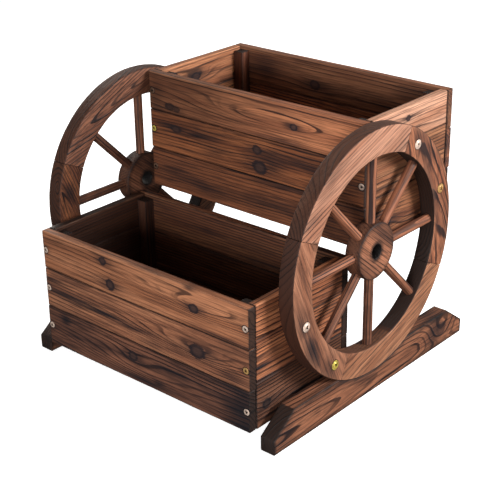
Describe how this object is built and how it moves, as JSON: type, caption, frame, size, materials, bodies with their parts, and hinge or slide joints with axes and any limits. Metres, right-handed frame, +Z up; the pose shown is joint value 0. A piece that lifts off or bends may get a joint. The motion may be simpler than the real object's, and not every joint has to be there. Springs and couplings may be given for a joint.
{
  "type": "wagon wheel planter",
  "caption": "Wooden planter with a low front box and a raised back box, hung between spoked wagon wheels that stand on foot beams.",
  "frame": {"origin": "middle of the planter's footprint, on the floor", "axes": "+X towards the right wheel, +Y from the low front box to the raised back box, +Z up"},
  "size_m": [0.4704, 0.458, 0.3935],
  "materials": {
    "fir_plank": "burnt and brushed fir, reddish brown with charred latewood lines, matt clear coat",
    "fir_wheel": "burnt and brushed fir, reddish brown with charred latewood lines, matt clear coat",
    "fir_dowel": "burnt and brushed fir, reddish brown with charred latewood lines, matt clear coat",
    "fir_foot": "burnt and brushed fir, reddish brown with charred latewood lines, matt clear coat",
    "fir_inner": "burnt fir, rough sawn, reddish brown",
    "zinc_screw": "yellow zinc plating, slightly worn"
  },
  "bodies": {
    "root": {"lower_front_plank_bottom": "fir_plank", "lower_front_plank_middle": "fir_plank", "lower_front_plank_top": "fir_plank", "lower_back_plank_bottom": "fir_plank", "lower_back_plank_middle": "fir_plank", "lower_back_plank_top": "fir_plank", "lower_left_plank_bottom": "fir_plank", "lower_left_plank_middle": "fir_plank", "lower_left_plank_top": "fir_plank", "lower_right_plank_bottom": "fir_plank", "lower_right_plank_middle": "fir_plank", "lower_right_plank_top": "fir_plank", "lower_post_front_left": "fir_inner", "lower_post_front_right": "fir_inner", "lower_post_back_left": "fir_inner", "lower_post_back_right": "fir_inner", "lower_floor_battens": "fir_inner", "lower_floor_slats": "fir_inner", "upper_front_plank_bottom": "fir_plank", "upper_front_plank_middle": "fir_plank", "upper_front_plank_top": "fir_plank", "upper_back_plank_bottom": "fir_plank", "upper_back_plank_middle": "fir_plank", "upper_back_plank_top": "fir_plank", "upper_left_plank_bottom": "fir_plank", "upper_left_plank_middle": "fir_plank", "upper_left_plank_top": "fir_plank", "upper_right_plank_bottom": "fir_plank", "upper_right_plank_middle": "fir_plank", "upper_right_plank_top": "fir_plank", "upper_post_front_left": "fir_inner", "upper_post_front_right": "fir_inner", "upper_post_back_left": "fir_inner", "upper_post_back_right": "fir_inner", "upper_floor_battens": "fir_inner", "upper_floor_slats": "fir_inner", "left_felloe_upper_front": "fir_wheel", "left_felloe_lower_front": "fir_wheel", "left_felloe_lower_back": "fir_wheel", "left_felloe_upper_back": "fir_wheel", "right_felloe_upper_front": "fir_wheel", "right_felloe_lower_front": "fir_wheel", "right_felloe_lower_back": "fir_wheel", "right_felloe_upper_back": "fir_wheel", "left_hub": "fir_wheel", "right_hub": "fir_wheel", "left_spokes": "fir_dowel", "right_spokes": "fir_dowel", "left_foot_beam": "fir_foot", "right_foot_beam": "fir_foot", "lower_box_screws": "zinc_screw", "upper_box_screws": "zinc_screw", "left_wheel_screws": "zinc_screw", "right_wheel_screws": "zinc_screw", "left_wheel_spacers": "fir_inner", "right_wheel_spacers": "fir_inner"}
  },
  "joints": []
}
